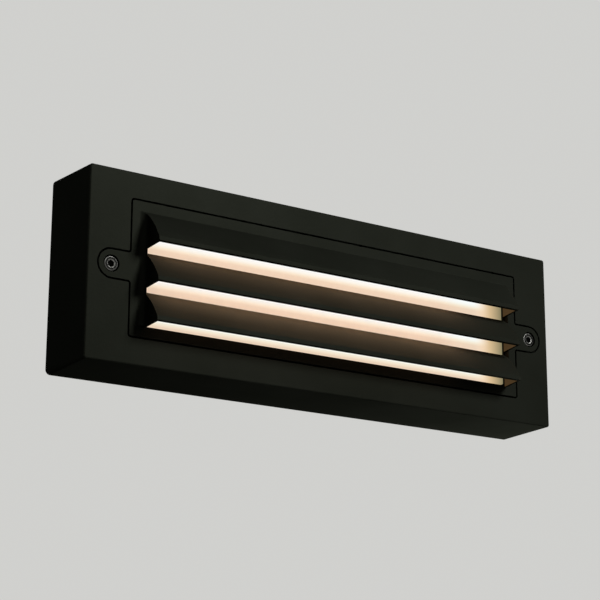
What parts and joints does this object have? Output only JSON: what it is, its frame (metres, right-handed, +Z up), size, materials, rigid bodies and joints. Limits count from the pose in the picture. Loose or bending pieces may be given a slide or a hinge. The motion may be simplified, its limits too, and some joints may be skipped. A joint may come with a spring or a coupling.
{
  "type": "louvred wall light",
  "caption": "Long rectangular wall light: drafted cast body, flush louvre plate with downward hoods over a lit opal diffuser, captive socket screws in its end ears.",
  "frame": {"origin": "on the wall plane, midway between the two wall fixing slots, at the centre of the body's back", "axes": "+X along the light to the right seen from the front, +Y into the wall, +Z up; the front faces -Y"},
  "size_m": [0.2724, 0.0475, 0.0924],
  "materials": {
    "black_casting": "matte",
    "screw_steel": "satin",
    "washer_steel": "satin",
    "silicone": "matte",
    "foam": "matte",
    "black_rubber": "matte",
    "opal": "satin",
    "white_tray": "satin",
    "zinc_steel": "satin",
    "heat_pad": "matte",
    "light_board": "satin",
    "emitter": "satin",
    "nylon": "satin",
    "brass": "satin",
    "driver_plastic": "matte",
    "circuit": "satin",
    "component": "satin",
    "tinned_copper": "satin",
    "brown_wire": "satin",
    "blue_wire": "satin",
    "earth_wire": "satin",
    "red_wire": "satin",
    "black_wire": "satin"
  },
  "bodies": {
    "body": {"housing": "black_casting", "wall_gasket": "foam", "cable_grommet": "black_rubber", "tray_bush": "black_rubber", "gear_tray": "white_tray", "tray_screws": "zinc_steel", "board_screws": "zinc_steel", "terminal_screws": "zinc_steel", "driver_screws": "zinc_steel", "clamp_screws": "zinc_steel", "earth_screw": "zinc_steel", "earth_cup_washer": "zinc_steel", "heat_pad": "heat_pad", "led_board": "light_board", "led_chips": "emitter", "led_plug": "nylon", "terminal_body": "nylon", "terminal_clamps": "brass", "driver_case": "driver_plastic", "driver_lid": "driver_plastic", "driver_circuit": "circuit", "driver_components": "component", "earth_lug": "tinned_copper", "live_lead": "brown_wire", "neutral_lead": "blue_wire", "earth_lead": "earth_wire", "led_lead_positive": "red_wire", "led_lead_negative": "black_wire"},
    "front_cover": {"louvre_front": "black_casting", "front_gasket": "silicone", "diffuser": "opal"},
    "left_washer": {"screw_washer_left": "washer_steel"},
    "left_screw": {"front_screw_left": "screw_steel"},
    "right_washer": {"screw_washer_right": "washer_steel"},
    "right_screw": {"front_screw_right": "screw_steel"}
  },
  "joints": [
    {"name": "front_lift_off", "type": "slide", "parent": "body", "child": "front_cover", "axis": [0, -1, 0], "range_m": [0, 0.05]},
    {"name": "left_screw_travel", "type": "slide", "parent": "front_cover", "child": "left_washer", "axis": [0, -1, 0], "range_m": [0, 0.0112]},
    {"name": "left_screw_turn", "type": "hinge", "parent": "left_washer", "child": "left_screw", "pos_m": [-0.1229, -0.0306, 0], "axis": [0, -1, 0], "range_deg": [0, 5761]},
    {"name": "right_screw_travel", "type": "slide", "parent": "front_cover", "child": "right_washer", "axis": [0, -1, 0], "range_m": [0, 0.0112]},
    {"name": "right_screw_turn", "type": "hinge", "parent": "right_washer", "child": "right_screw", "pos_m": [0.1229, -0.0306, 0], "axis": [0, -1, 0], "range_deg": [0, 5761]}
  ],
  "couplings": [
    {"joint": "left_screw_turn", "follows": "left_screw_travel", "rad_per_m": 8976},
    {"joint": "right_screw_turn", "follows": "right_screw_travel", "rad_per_m": 8976}
  ]
}
